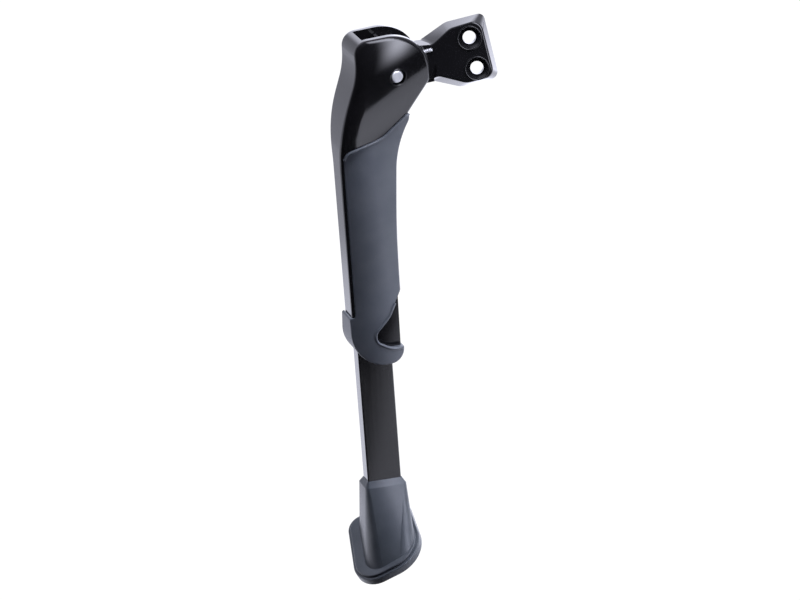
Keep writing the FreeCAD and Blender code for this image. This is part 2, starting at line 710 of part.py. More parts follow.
def make_leg_housing():
    body = new_body("leg_housing")
    side = new_sketch(body, "side_outline")
    outline(side, [
        (-dim["head_left"], dim["head_top"], dim["head_back_corner"]),
        (dim["head_right"], dim["head_top"], dim["head_corner"]),
        (dim["head_right"], -dim["head_heel"], dim["heel_bend"]),
        (body_skirt, -dim["skirt_top"], 0),
        *right_side(0),
        (body_low, -dim["body_end"], 0),
        (-dim["leg_offset"], -dim["body_end"], 0),
        (-body_left, -dim["body_left_end"], 0),
        (-body_left, -dim["back_hip"], dim["hip_radius"]),
        (-dim["head_left"], dim["back_shoulder"], dim["shoulder_radius"]),
    ])
    blank_half = slot_half + dim["cheek_wall"] + 1
    pad(body, side, blank_half * 2, both_ways=True)
    # The thickness follows contours that rise to the right: crown, throat, then a long taper
    crown = new_sketch(body, "crown", plane="YZ_Plane", turn=(0, 0, -dim["contour_angle"]))
    rim_half = slot_half + dim["cheek_rim"]
    crown_half = slot_half + dim["cheek_wall"]
    for sign in (-1, 1):
        outline(crown, [
            (rim_half * sign, profile_start, 0),
            (crown_half * sign, dim["crown_place"], dim["crown_radius"]),
            (neck_half * sign, -dim["throat_place"], dim["throat_radius"]),
            (low_half * sign, -profile_end, 0),
            (FAR * sign, -profile_end, 0),
            (FAR * sign, profile_start, 0),
        ])
    cut(body, crown, both_ways=True)
    rise = math.radians(number(dim["contour_angle"]))
    contour = Vector(math.cos(rise), 0, math.sin(rise))

    def is_outer_edge(edge, middle):
        along = edge.tangentAt((edge.FirstParameter + edge.LastParameter) / 2)
        return abs(along.y) < 0.9 and abs(along.dot(contour)) < 0.9999

    fillet(body, is_outer_edge, dim["body_edge"])
    cut_slot(body)
    cut_pin_seats(body)
    cut_leg_channel(body)
    cut_detent_bore(body)
    cut_cover_recess(body)
    add_clamp_bosses(body)
    cut_cover_screw(body)
    return body


def cut_slot(body):
    """The slot between the cheeks, where the hub and its tooth turn."""
    web_top = dim["arm_bottom"] + dim["side_play"] * 3
    opening = new_sketch(body, "slot_opening")
    outline(opening, [
        (-dim["spine_face"], 0, 0), (0, 0, 0), (0, -web_top, 0), (FAR, -web_top, 0),
        (FAR, FAR, 0), (-dim["spine_face"], FAR, 0),
    ])
    cut(body, opening, slot_half * 2, both_ways=True)
    hub = new_sketch(body, "hub_room")
    circle(hub, 0, 0, (dim["hub_radius"] + dim["hub_play"]) * 2)
    cut(body, hub, slot_half * 2, both_ways=True)
    tooth = new_sketch(body, "tooth_room")
    start = dim["tooth_angle"] + dim["tooth_width"]
    end = dim["tooth_angle"] + dim["fold_angle"] + dim["tooth_width"] / 2 + dim["tooth_play"]
    sector(tooth, dim["hub_radius"] + dim["tooth_height"] + dim["hub_play"], start, end)
    cut(body, tooth, slot_half * 2, both_ways=True)


def sector(sketch, radius, start, end):
    """A slice of a circle round the origin, between two directions."""
    shape = Part.Circle(Vector(), Vector(0, 0, 1), number(radius))
    angles = [math.radians(number(angle)) for angle in (start, end)]
    arc = sketch.addGeometry(Part.ArcOfCircle(shape, *angles), False)
    rim = sketch.Geometry[arc]
    first = sketch.addGeometry(Part.LineSegment(Vector(), rim.StartPoint), False)
    second = sketch.addGeometry(Part.LineSegment(rim.EndPoint, Vector()), False)
    sketch.addConstraint(Sketcher.Constraint("Coincident", arc, 3, -1, 1))
    sketch.addConstraint(Sketcher.Constraint("Coincident", first, 1, -1, 1))
    sketch.addConstraint(Sketcher.Constraint("Coincident", second, 2, -1, 1))
    sketch.addConstraint(Sketcher.Constraint("Coincident", first, 2, arc, 1))
    sketch.addConstraint(Sketcher.Constraint("Coincident", second, 1, arc, 2))
    place_point(sketch, arc, 1, radius * cosine(start), radius * sine(start))
    constrain(sketch, radius * sine(end), "DistanceY", -1, 1, arc, 2)


def cut_pin_seats(body):
    bore = new_sketch(body, "pin_bore")
    circle(bore, 0, 0, dim["pin_diameter"] + dim["press_gap"] * 2)
    cut(body, bore, both_ways=True)
    front = new_sketch(body, "front_recess", out=recess_face)
    circle(front, 0, 0, dim["pin_recess"])
    cut(body, front, reverse=True)
    back = new_sketch(body, "back_recess", out=-recess_face)
    circle(back, 0, 0, dim["pin_recess"])
    cut(body, back)


def cut_leg_channel(body):
    channel = new_sketch(body, "leg_channel", out=channel_front)
    rectangle(channel, -channel_left, -channel_right, -dim["body_end"] - FAR,
              -dim["channel_top"], dim["leg_edge"])
    cut(body, channel, channel_front + channel_back)


def cut_detent_bore(body):
    bore = new_sketch(body, "detent_bore", turn=along_detent())
    rectangle(bore, 0, plunger_bore / 2, dim["hub_radius"], dim["detent_depth"])
    groove = body.newObject("PartDesign::Groove", "detent_bore_turned")
    groove.Profile = bore
    groove.ReferenceAxis = (bore, ["V_Axis"])
    groove.Angle = 360
    doc.recompute()


def cover_edge(shift):
    """The cover's top seam and left side, moved out by a shift."""
    inset = dim["cover_inset"] - body_left
    return [
        (inset - shift, -dim["cover_shoulder"] + shift, dim["cover_corner"]),
        (-dim["cover_bend_place"], -dim["cover_bend"] + shift, dim["cover_bend_radius"]),
        (dim["cover_tip"] + shift, -dim["cover_top"] + shift, dim["tip_round"] + shift),
    ]


def cut_cover_recess(body):
    """The step in the front where the cover lies, wider at the collar."""
    recess = new_sketch(body, "cover_recess", out=floor_front)
    inset = dim["cover_inset"] - body_left
    gap = dim["cover_gap"]
    outline(recess, [
        (-FAR * 2, -dim["body_end"] - FAR, 0),
        (-FAR * 2, gap - dim["collar_top"], 0),
        (inset - gap, gap - dim["collar_top"], dim["collar_round"]),
        *cover_edge(gap),
        (dim["cover_tip"] + gap, -dim["body_end"] - FAR, 0),
    ])
    cut(body, recess, reverse=True)


def clamp_places():
    half = dim["clamp_spacing"] / 2
    return [-dim["clamp_place"] + half, -dim["clamp_place"] - half]


def add_clamp_bosses(body):
    bosses = new_sketch(body, "clamp_bosses", out=-channel_back)
    for up in clamp_places():
        circle(bosses, -dim["leg_offset"], up, dim["clamp_boss"])
    pad(body, bosses, boss_back - channel_back, reverse=True)
    groove = new_sketch(body, "strip_groove", out=-channel_back)
    half_length = dim["pad_length"] / 2 + dim["leg_gap"]
    half_width = dim["pad_width"] / 2 + dim["leg_gap"]
    rectangle(groove, -dim["leg_offset"] - half_width, -dim["leg_offset"] + half_width,
              -dim["clamp_place"] - half_length, -dim["clamp_place"] + half_length)
    cut(body, groove, strip_back + dim["press_gap"] - channel_back)
    holes = new_sketch(body, "clamp_holes", out=-channel_back)
    for up in clamp_places():
        circle(holes, -dim["leg_offset"], up, dim["clamp_screw"] + dim["press_gap"] * 2)
    cut(body, holes)


def cut_cover_screw(body):
    place = (cover_screw_across, -dim["cover_screw_place"])
    shank = new_sketch(body, "cover_screw_hole")
    circle(shank, *place, dim["cover_screw_size"] + dim["leg_gap"] * 2)
    cut(body, shank, both_ways=True)
    head = new_sketch(body, "cover_screw_seat", out=-screw_seat)
    circle(head, *place, dim["cover_screw_head"] + dim["leg_gap"] * 2)
    cut(body, head)
    boss = new_sketch(body, "cover_boss_room", out=floor_front)
    circle(boss, *place, dim["cover_boss"] + dim["leg_gap"])
    cut(body, boss, dim["cover_boss_length"] + dim["leg_gap"])


def make_clamp_pad():
    strip = new_body("clamp_pad")
    face = new_sketch(strip, "strip_face", out=-strip_front)
    half_length = dim["pad_length"] / 2
    half_width = dim["pad_width"] / 2
    rectangle(face, -dim["leg_offset"] - half_width, -dim["leg_offset"] + half_width,
              -dim["clamp_place"] - half_length, -dim["clamp_place"] + half_length, 1)
    pad(strip, face, dim["pad_thickness"], reverse=True)
    return strip


def hexagon(sketch, x, y, across_flats):
    """A hexagon with two level corners."""
    radius = across_flats / (cosine(30) * 2)
    outline(sketch, [(x + radius * cosine(60 * side), y + radius * sine(60 * side), 0)
                     for side in range(6)])


def make_clamp_screws():
    """Two socket set screws, alike, in one group."""
    screws = []
    for index, up in enumerate(clamp_places()):
        screw = new_body(f"clamp_screw_{'upper' if index == 0 else 'lower'}")
        end = strip_back + dim["clamp_screw_length"]
        thread = new_sketch(screw, screw.Label + "_outline", out=-strip_back)
        circle(thread, -dim["leg_offset"], up, dim["clamp_screw"])
        pad(screw, thread, dim["clamp_screw_length"], reverse=True)
        socket = new_sketch(screw, screw.Label + "_socket", out=-end)
        hexagon(socket, -dim["leg_offset"], up, dim["clamp_screw"] / 2)
        cut(screw, socket, dim["clamp_screw_length"] / 2, reverse=True)
        screws.append(screw)
    group = doc.addObject("Part::Compound", "clamp_screws")
    group.Links = screws
    group.Label = "clamp_screws"
    doc.recompute()
    return group


def make_cover_screw():
    screw = new_body("cover_screw")
    place = (cover_screw_across, -dim["cover_screw_place"])
    head = new_sketch(screw, "cover_screw_head", out=-screw_seat)
    circle(head, *place, dim["cover_screw_head"])
    pad(screw, head, dim["cover_screw_height"], reverse=True)
    shank = new_sketch(screw, "cover_screw_shank", out=-screw_seat)
    circle(shank, *place, dim["cover_screw_size"])
    pad(screw, shank, screw_seat + floor_front - dim["pad_thickness"])
    socket = new_sketch(screw, "cover_screw_socket", out=-screw_seat - dim["cover_screw_height"])
    hexagon(socket, *place, dim["cover_screw_head"] / 2)
    cut(screw, socket, dim["cover_screw_height"] * 0.6, reverse=True)
    return screw


def cover_section(body, name, down, crest, front, back):
    """One level slice of the cover's blank, with one arc across the leg as its front."""
    section = new_sketch(body, name, plane="XY_Plane", out=-down)
    radius = dim["cover_crown"]
    half = dim["cover_half_blank"]
    centre_y = radius - front
    spread = math.asin(number(half) / number(radius))
    middle = Vector(-number(crest), number(centre_y), 0)
    shape = Part.Circle(middle, Vector(0, 0, 1), number(radius))
    angles = (-math.pi / 2 - spread, -math.pi / 2 + spread)
    crown = section.addGeometry(Part.ArcOfCircle(shape, *angles), False)
    rim = section.Geometry[crown]
    back_right = Vector(number(half - crest), number(back), 0)
    back_left = Vector(number(-half - crest), number(back), 0)
    path = [rim.EndPoint, back_right, back_left, rim.StartPoint]
    lines = [section.addGeometry(Part.LineSegment(here, there), False)
             for here, there in zip(path, path[1:])]
    chain = [(crown, 2, lines[0], 1), (lines[0], 2, lines[1], 1), (lines[1], 2, lines[2], 1),
             (lines[2], 2, crown, 1)]
    for link in chain:
        section.addConstraint(Sketcher.Constraint("Coincident", *link))
    place_point(section, crown, 3, -crest, centre_y)
    constrain(section, radius, "Radius", crown)
    constrain(section, -half - crest, "DistanceX", -1, 1, crown, 1)
    constrain(section, half - crest, "DistanceX", -1, 1, crown, 2)
    place_point(section, lines[1], 1, half - crest, back)
    place_point(section, lines[1], 2, -half - crest, back)
    return section


def make_cover():
    """The plastic cover: front wall, right wall and slanted collar in one moulding."""
    body = new_body("cover")
    top_front = neck_half + dim["cover_proud"]
    low_front = (neck_half + low_half) / 2 + dim["cover_proud"]
    half_flare = (low_front + dim["collar_thickness"]) / 2
    half_reach = (dim["cover_reach"] + dim["collar_thickness"]) / 2
    crest = dim["cover_crest"]
    flare_end = (dim["window_tip"] + dim["window_bottom"]) / 2
    flare_start = flare_end - dim["collar_flare"]
    slices = [
        (0, 0, top_front + dim["cover_proud"], dim["cover_reach"]),
        (dim["cover_top"], crest / 4, top_front + dim["cover_proud"] / 2, dim["cover_reach"]),
        (dim["cover_neck"], crest * 0.8, top_front, dim["cover_reach"]),
        (dim["cover_waist"], crest, (top_front + low_front) / 2, dim["cover_reach"]),
        (flare_start, crest, low_front, dim["cover_reach"]),
        ((flare_start + flare_end) / 2, crest, half_flare, half_reach),
        (flare_end, crest, dim["collar_thickness"], dim["collar_thickness"]),
        (dim["collar_left_end"] + 10, crest, dim["collar_thickness"], dim["collar_thickness"]),
    ]
    sections = [cover_section(body, f"cover_slice_{index}", *slice)
                for index, slice in enumerate(slices)]
    loft(body, sections)
    shift = dim["cover_gap"] + dim["cover_side"]
    inset = dim["cover_inset"] - body_left
    waste = new_sketch(body, "cover_outline")
    rectangle(waste, -FAR * 2, FAR * 2, -FAR * 4, FAR)
    outline(waste, [
        *cover_edge(0),
        *right_side(shift),
        (body_low + shift, -(dim["window_top"] + dim["window_bottom"]) / 2, dim["waist_bend"]),
        (collar_right, -dim["window_bottom"], dim["waist_bend"]),
        (collar_right, -dim["collar_right_end"], dim["collar_corner"]),
        (-collar_left, -dim["collar_left_end"], dim["collar_sweep"]),
        (-collar_left, -dim["collar_top"], dim["collar_round"]),
        (inset, -dim["collar_top"], dim["collar_round"]),
    ])
    cut(body, waste, both_ways=True)
    fillet_cover(body)
    hollow_cover(body)
    cut_window(body)
    add_cover_boss(body)
    return body


def fillet_cover(body):
    """Round the outer edges at the front of the moulding."""

    def is_front_rim(edge, middle):
        along = edge.tangentAt((edge.FirstParameter + edge.LastParameter) / 2)
        return abs(along.y) < 0.8 and middle.y < 0

    fillet(body, is_front_rim, dim["cover_round"])


def hollow_cover(body):
    """Open the back above the collar, then cut the seats of housing and leg in the collar."""
    gap = dim["cover_gap"]
    inset = dim["cover_inset"] - body_left
    inner = floor_front + gap
    hollow = new_sketch(body, "cover_hollow", out=inner)
    outline(hollow, [
        (dim["head_right"] + gap, -dim["head_heel"] - gap, 0),
        (body_skirt + gap, -dim["skirt_top"] - gap, 0),
        *right_side(gap),
        (body_low + gap, -dim["window_bottom"] - gap, 0),
        (-dim["window_floor"], -dim["window_bottom"], 0),
        (-dim["window_left"], -dim["window_tip"], 0),
        (inset, -dim["collar_top"], 0),
        (-FAR, -dim["collar_top"], 0),
        (-FAR, 0, 0),
        (dim["head_right"] + gap, 0, 0),
    ])
    cut(body, hollow)
    seat = new_sketch(body, "housing_seat", out=inner)
    outline(seat, [
        (body_waist + gap, -dim["cover_waist"], 0),
        (body_low + gap, -dim["body_end"] - gap, 0),
        (-dim["leg_offset"], -dim["body_end"] - gap, 0),
        (-body_left - gap, -dim["body_left_end"] - gap, 0),
        (-body_left - gap, -dim["cover_waist"], 0),
    ])
    cut(body, seat, inner + (neck_half + low_half) / 2 + gap)
    slot = new_sketch(body, "leg_slot", out=channel_front)
    rectangle(slot, -channel_left, -channel_right, -FAR * 4, -dim["body_left_end"])
    cut(body, slot, channel_front + channel_back)


def cut_window(body):
    window = new_sketch(body, "window")
    reach = dim["cover_half_blank"]
    outline(window, [
        (reach, -dim["window_bottom"] - dim["cover_gap"], 0),
        (-dim["window_floor"], -dim["window_bottom"], dim["collar_corner"] * 1.5),
        (-dim["window_left"], -dim["window_tip"], dim["window_round"]),
        (-dim["window_bend"], -dim["window_top"], dim["waist_bend"] * 2),
        (reach, (reach + dim["window_bend"]) * 1.7 - dim["window_top"], 0),
    ])
    cut(body, window, both_ways=True)


def add_cover_boss(body):
    place = (cover_screw_across, -dim["cover_screw_place"])
    root = floor_front + dim["cover_side"] / 2
    boss = new_sketch(body, "cover_boss", out=root)
    circle(boss, *place, dim["cover_boss"])
    pad(body, boss, root - boss_end, reverse=True)
    hole = new_sketch(body, "cover_boss_hole", out=boss_end)
    circle(hole, *place, dim["cover_screw_size"] + dim["press_gap"] * 2)
    cut(body, hole, floor_front - boss_end - dim["pad_thickness"] / 2, reverse=True)


def make_leg_bar():
    bar = new_body("leg_bar")
    face = new_sketch(bar, "bar_face", out=leg_front)
    rectangle(face, -leg_left, -leg_right, -dim["leg_bottom"], -dim["leg_top"])
    pad(bar, face, dim["leg_thickness"], reverse=True)

    def is_long_edge(edge, middle):
        return edge.Length > number(dim["leg_width"]) * 2

    fillet(bar, is_long_edge, dim["leg_edge"])
    hole = new_sketch(bar, "bar_pin_hole")
    circle(hole, -dim["leg_offset"], -dim["foot_pin_place"],
           dim["foot_pin_diameter"] + dim["press_gap"] * 2)
    cut(bar, hole, both_ways=True)
    return bar


def top_sketch(body, name, down):
    """A sketch across the bar at the foot's top, slanted as the top is."""
    return new_sketch(body, name, plane="XY_Plane", right=-dim["leg_offset"],
                      out=-dim["foot_top"] - down, turn=(0, dim["foot_slant"], 0))


def sole_sketch(body, name, up=0):
    """A sketch level with the sole, X across the leg and Y towards the back."""
    across = up * sine(dim["sole_rise"]) * cosine(dim["sole_tilt"])
    along = up * cosine(dim["sole_rise"]) * cosine(dim["sole_tilt"])
    return new_sketch(body, name, plane="XY_Plane", right=-dim["leg_offset"] - across,
                      up=-up * sine(dim["sole_tilt"]), out=along - dim["sole_place"],
                      turn=(0, -dim["sole_rise"], dim["sole_tilt"]))


def turned(corners):
    """Corners (x, y, rounding) turned with the sole's outline."""
    angle = -dim["sole_turn"]
    return [(x * cosine(angle) - y * sine(angle), x * sine(angle) + y * cosine(angle), rounding)
            for x, y, rounding in corners]


def sole_outline(inset):
    """The sole's outline, moved in by an inset."""
    return turned([
        (inset - dim["sole_left"], inset - dim["sole_front"], dim["sole_toe"] - inset),
        (dim["sole_right"] - inset, inset - dim["sole_front_right"], dim["sole_ball"] - inset),
        (dim["sole_back_right"] - inset, dim["sole_back"] - inset, dim["sole_corner"] - inset),
        (inset - dim["sole_back_left"], dim["sole_back"] - inset, dim["sole_corner"] - inset),
    ])


def add_sole_layer(foot, name, inset, height):
    """One layer of the sole, with its upper rim rounded."""
    base = sole_sketch(foot, name)
    outline(base, sole_outline(inset))
    pad(foot, base, height)
    level = number(height)
    to_sole = base.Placement.inverse()

    def is_upper_rim(edge, middle):
        return abs(to_sole.multVec(middle).z - level) < 0.01

    fillet(foot, is_upper_rim, dim["sole_edge"])


def make_foot():
    foot = new_body("foot")
    add_sole_layer(foot, "sole", 0, dim["sole_thickness"])
    add_sole_layer(foot, "step", dim["step_inset"], dim["sole_thickness"] + dim["step_height"])
    half_width = dim["leg_width"] / 2
    sections = []
    for name, down, side, front, rounding in (
            ("foot_rim", 0, dim["foot_rim"], dim["foot_rim"], dim["leg_edge"]),
            ("foot_neck", dim["foot_bevel"], dim["foot_side"], dim["foot_wall"], dim["foot_flare"])):
        section = top_sketch(foot, name, down)
        rectangle(section, -half_width - side, half_width + side,
                  -leg_front - front, leg_back + front, rounding)
        sections.append(section)
    heel = sole_sketch(foot, "column_end", dim["sole_thickness"])
    outline(heel, turned([
        (-dim["heel_left"], -dim["heel_front"], dim["heel_toe"]),
        (dim["heel_right"], -dim["heel_front_right"], dim["heel_ball"]),
        (dim["heel_back_right"], dim["heel_back"], dim["heel_corner"]),
        (-dim["heel_back_left"], dim["heel_back"], dim["heel_corner"]),
    ]))
    loft(foot, sections + [heel], ruled=True)
    gap = dim["press_gap"]
    socket = new_sketch(foot, "bar_socket", plane="XY_Plane", out=-dim["leg_bottom"] - gap)
    rectangle(socket, -leg_left - gap, -leg_right + gap, -leg_front - gap, leg_back + gap)
    cut(foot, socket, reverse=True)
    hole = new_sketch(foot, "foot_pin_hole", out=foot_pin_front + gap)
    circle(hole, -dim["leg_offset"], -dim["foot_pin_place"],
           dim["foot_pin_diameter"] + gap * 2)
    cut(foot, hole)
    return foot


def make_foot_pin():
    pin = new_body("foot_pin")
    back = foot_back - dim["foot_wall"] / 2
    end = new_sketch(pin, "foot_pin_end", out=-back)
    circle(end, -dim["leg_offset"], -dim["foot_pin_place"], dim["foot_pin_diameter"])
    pad(pin, end, back + foot_pin_front)
    return pin


def make_parts():
    washer_bore = dim["pin_diameter"] + dim["leg_gap"]
    washer = (washer_bore, dim["washer_diameter"], dim["washer_thickness"])
    return [
        make_mount_bracket(),
        make_stop_pin(),
        make_ring("pivot_bush", 0, bush_bore, bush_diameter, dim["hub_width"], both_ways=True),
        make_ring("thrust_washer_front", hub_half, *washer),
        make_ring("thrust_washer_back", -hub_half, *washer, reverse=True),
        make_pivot_pin(),
        make_leg_housing(),
        make_detent_plunger(),
        make_detent_spring(),
        make_cover(),
        make_cover_screw(),
        make_clamp_screws(),
        make_clamp_pad(),
        make_leg_bar(),
        make_foot(),
        make_foot_pin(),
    ]


parts = make_parts()
doc.recompute()
for thing in doc.Objects:
    if "Invalid" in thing.State or "Error" in thing.State:
        raise RuntimeError(f"{thing.Name} failed: {thing.State}")
os.makedirs("parts", exist_ok=True)
for part in parts:
    if part.Shape.isNull() or not part.Shape.isValid():
        raise RuntimeError(f"{part.Label} has no valid shape")
    part.Shape.exportStep(f"parts/{part.Label}.step")
    solids = len(part.Shape.Solids)
    print(f"{part.Label}: {solids} solid, {part.Shape.Volume:.0f} mm3, {part.Shape.BoundBox}")
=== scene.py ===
# %% [markdown]
# # A bicycle kickstand, dressed for a photograph
#
# The solid parts of this stand come from a CAD model. This lesson gives them their paint, their rubber
# and their steel, adds the small forms that a CAD model leaves plain, and lights them like a
# catalogue picture. We first load the fixed model.

# %% Load the fixed model
import math

import bmesh
import bpy
from mathutils import Matrix, Vector


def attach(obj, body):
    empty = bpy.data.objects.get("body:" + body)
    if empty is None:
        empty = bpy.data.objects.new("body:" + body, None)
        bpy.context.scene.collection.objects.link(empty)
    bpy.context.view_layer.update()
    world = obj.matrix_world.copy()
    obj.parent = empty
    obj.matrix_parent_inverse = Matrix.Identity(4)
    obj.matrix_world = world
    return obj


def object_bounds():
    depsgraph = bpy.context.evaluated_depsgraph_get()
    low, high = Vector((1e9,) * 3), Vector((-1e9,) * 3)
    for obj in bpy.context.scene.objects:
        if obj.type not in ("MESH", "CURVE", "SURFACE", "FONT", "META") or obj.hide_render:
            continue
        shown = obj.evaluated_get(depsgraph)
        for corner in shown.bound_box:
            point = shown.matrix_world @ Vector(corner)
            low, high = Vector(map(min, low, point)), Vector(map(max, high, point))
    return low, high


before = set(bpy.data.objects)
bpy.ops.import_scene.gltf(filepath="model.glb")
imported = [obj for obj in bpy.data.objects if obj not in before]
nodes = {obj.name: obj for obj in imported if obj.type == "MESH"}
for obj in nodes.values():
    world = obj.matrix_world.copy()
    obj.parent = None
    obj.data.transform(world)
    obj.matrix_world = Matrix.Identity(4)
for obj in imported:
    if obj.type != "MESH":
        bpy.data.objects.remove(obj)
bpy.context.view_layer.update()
print("nodes:", sorted(nodes))

# %% [markdown]
# ## The leg's own directions
#
# The leg turns on an oblique pin, so nothing on it lies along the main axes. Four vectors describe it:
# where the hinge is, and the directions across the leg, away from the viewer and up along the leg.
# Finishes and rims are placed with them, which is easier than with X, Y and Z.

# %% Name the leg's directions
hinge = Vector((-0.0481, -0.0104, 0.0026))
across_leg = Vector((0.942850, 0.319137, -0.095846))
behind_leg = Vector((-0.287081, 0.924004, 0.252590))
along_leg = Vector((0.169173, -0.210639, 0.962815))
print("the leg leans", round(math.degrees(along_leg.angle(Vector((0, 0, 1)))), 1), "degrees")

# %% [markdown]
# ## The camera
#
# The picture was taken with a long lens, a little above the stand and turned slightly to its left.
# A camera's place can be set with rotation angles, but three axis vectors are easier to check: one
# to the right of the picture, one up and one back towards the photographer. They become the columns
# of the camera's matrix.

# %% Set up the camera
right = Vector((0.96890, -0.03437, -0.24505))
up = Vector((0.24610, 0.23702, 0.93982))
back = Vector((0.02578, -0.97090, 0.23811))
camera_data = bpy.data.cameras.new("photo_camera")
camera_data.lens = 153.0
camera_data.sensor_width = 36.0
camera_data.clip_end = 50.0
camera = bpy.data.objects.new("photo_camera", camera_data)
bpy.context.scene.collection.objects.link(camera)
placement = Matrix((right, up, back)).transposed().to_4x4()
placement.translation = Vector((-0.0250, -1.9110, 0.3375))
camera.matrix_world = placement
bpy.context.scene.camera = camera
bpy.context.scene.view_settings.view_transform = "Standard"
print("camera stands", round(camera.location.length, 3), "m from the plate")

# %% [markdown]
# ## Node helpers
#
# Every material below is a small tree of nodes. A few helpers keep the cells short: one adds a node
# and fills its sockets, one makes a ramp between two values, and the others do sums with values,
# vectors and colours.


# %% Helpers for shader nodes
def add_node(tree, kind, inputs=None, **settings):
    """Add a node; a socket's value is a number, a colour or another node's output."""
    node = tree.nodes.new(kind)
    for name, value in settings.items():
        setattr(node, name, value)
    for name, value in (inputs or {}).items():
        socket = node.inputs[name]
        if isinstance(value, bpy.types.NodeSocket):
            tree.links.new(value, socket)
        else:
            socket.default_value = value
    return node


def remap(tree, value, low, high, to_low=0.0, to_high=1.0):
    """Stretch one range of a value smoothly onto another."""
    node = add_node(tree, "ShaderNodeMapRange",
                    {"Value": value, "From Min": low, "From Max": high,
                     "To Min": to_low, "To Max": to_high},
                    interpolation_type="SMOOTHSTEP")
    return node.outputs["Result"]


def mix_colour(tree, factor, first, second):
    """A colour between two others; the Mix node keeps its colours on sockets 6 and 7."""
    return add_node(tree, "ShaderNodeMix", {0: factor, 6: first, 7: second}, data_type="RGBA").outputs[2]


def calculate(tree, operation, first, second):
    return add_node(tree, "ShaderNodeMath", {0: first, 1: second}, operation=operation).outputs[0]


def times(tree, first, second):
    return calculate(tree, "MULTIPLY", first, second)


def add_up(tree, values):
    total = values[0]
    for value in values[1:]:
        total = calculate(tree, "ADD", total, value)
    return total


def combine(tree, operation, first, second):
    """A vector made of two others."""
    return add_node(tree, "ShaderNodeVectorMath", {0: first, 1: second},
                    operation=operation).outputs["Vector"]


def measure(tree, vector, axis):
    """How far a vector reaches along an axis."""
    return add_node(tree, "ShaderNodeVectorMath", {0: vector, 1: axis},
                    operation="DOT_PRODUCT").outputs["Value"]


def distance_to(tree, place, point):
    return add_node(tree, "ShaderNodeVectorMath", {0: place, 1: point},
                    operation="DISTANCE").outputs["Value"]


print("helpers are ready")

# %% [markdown]
# ## The table
#
# Black gloss paint is mostly a mirror: what we see in it is the table and the room. In the
# photograph the faces that look at the camera are nearly black, so the room behind the camera is
# dark. The sides that we see at a glancing angle are light grey, so they mirror a bright table and
# bright walls beside and behind the stand. To glossy rays the table is a painted reflection: it
# glows by itself, with two soft patches of painted light. The table ends a little in front of the
# stand, and its edge shows as a soft line across the head. A dark patch is painted on it to the
# front left, in its colour and its glow, and keeps the left of the front faces dark. A painted
# shadow makes its glow dimmer close to the stand. The camera itself sees plain white instead of the
# table, so the background is clean. The table lies 30 mm under the foot, because the leg slides
# that far out of its housing.

# %% Make the floor
room_for_leg = 0.030
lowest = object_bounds()[0].z - room_for_leg
bpy.ops.object.select_all(action="DESELECT")
bpy.ops.mesh.primitive_plane_add(size=1)
floor = bpy.context.object
floor.name = "floor"
floor_width = 7.0
floor_front = -0.186
floor_back = 6.0
for vertex in floor.data.vertices:
    vertex.co.x *= floor_width
    vertex.co.y = floor_front if vertex.co.y < 0 else floor_back
    vertex.co.z = lowest


def add_painted_light_patch(tree, place, centre, reach, strength):
    """A soft round patch of painted light in the floor's glow."""
    away = distance_to(tree, place, (centre[0], centre[1], lowest))
    return remap(tree, away, reach, reach * 0.25, 0.0, strength)


cool_light = (0.93, 0.945, 1.09, 1)
white_table = bpy.data.materials.new("white_table")
white_table.use_nodes = True
tree = white_table.node_tree
tree.nodes.clear()
place = add_node(tree, "ShaderNodeTexCoord").outputs["Object"]
path = add_node(tree, "ShaderNodeLightPath")
# A dark patch is painted on the floor to the front left, in its colour and its glow: painted shade that
# keeps the left of the front faces dark.
painted_dark_corner = Vector((-0.0466, -0.0628, lowest))
away_from_painted_dark = (0.667, 0.745, 0)
past_painted_dark = measure(tree, combine(tree, "SUBTRACT", place, painted_dark_corner), away_from_painted_dark)
beside_painted_dark = remap(tree, past_painted_dark, -0.005, 0.005)
behind_painted_dark = remap(tree, measure(tree, place, (0, 1, 0)), 0.03, 0.10)
off_painted_dark = calculate(tree, "MAXIMUM", beside_painted_dark, behind_painted_dark)
# Two soft patches of painted light in the floor's glow.
right_painted_light = add_painted_light_patch(tree, place, centre=(0.80, 1.10), reach=0.9, strength=2.6)
left_painted_light = add_painted_light_patch(tree, place, centre=(-0.42, 0.37), reach=1.3, strength=1.25)
# A painted shadow: the floor's glow falls to half close to the stand.
from_stand = distance_to(tree, place, (-0.08, -0.02, lowest))
painted_stand_shadow = remap(tree, from_stand, 0.05, 0.20, 0.5, 1.0)
plain_glow = 1.2
table_glow = add_up(tree, [right_painted_light, left_painted_light, plain_glow])
glow = times(tree, times(tree, table_glow, off_painted_dark), painted_stand_shadow)
# The paper's colour is painted nearly black in the dark patch.
paper = add_node(tree, "ShaderNodeBsdfDiffuse",
                 {"Color": mix_colour(tree, off_painted_dark, (0.02, 0.02, 0.02, 1), (0.80, 0.80, 0.82, 1))})
# To glossy rays the floor glows by itself instead of being lit by the lamps: a painted reflection.
mirror_glow = add_node(tree, "ShaderNodeEmission", {"Color": cool_light, "Strength": glow})
white_glow = add_node(tree, "ShaderNodeEmission", {"Strength": 1.05})
in_gloss = add_node(tree, "ShaderNodeMixShader", {0: path.outputs["Is Glossy Ray"], 1: paper.outputs[0],
                                                  2: mirror_glow.outputs[0]})
straight = add_node(tree, "ShaderNodeMixShader", {0: path.outputs["Is Camera Ray"],
                                                  1: in_gloss.outputs[0], 2: white_glow.outputs[0]})
add_node(tree, "ShaderNodeOutputMaterial", {"Surface": straight.outputs[0]})
floor.data.materials.append(white_table)
print("floor at", round(lowest, 4))

# %% [markdown]
# ## The lamps
#
# Lamps give the matte pieces their shape. Four rectangular softboxes surround the stand and face
# the middle of it. Gloss paint doesn't mirror them, because their hard outlines would show; the room
# in the next step gives it soft ones. A lamp's power is worked out from how bright its face should
# look, so a larger box gives more light without looking brighter.

# %% Place the lamps
lamp_target = Vector((-0.06, 0.0, -0.12))


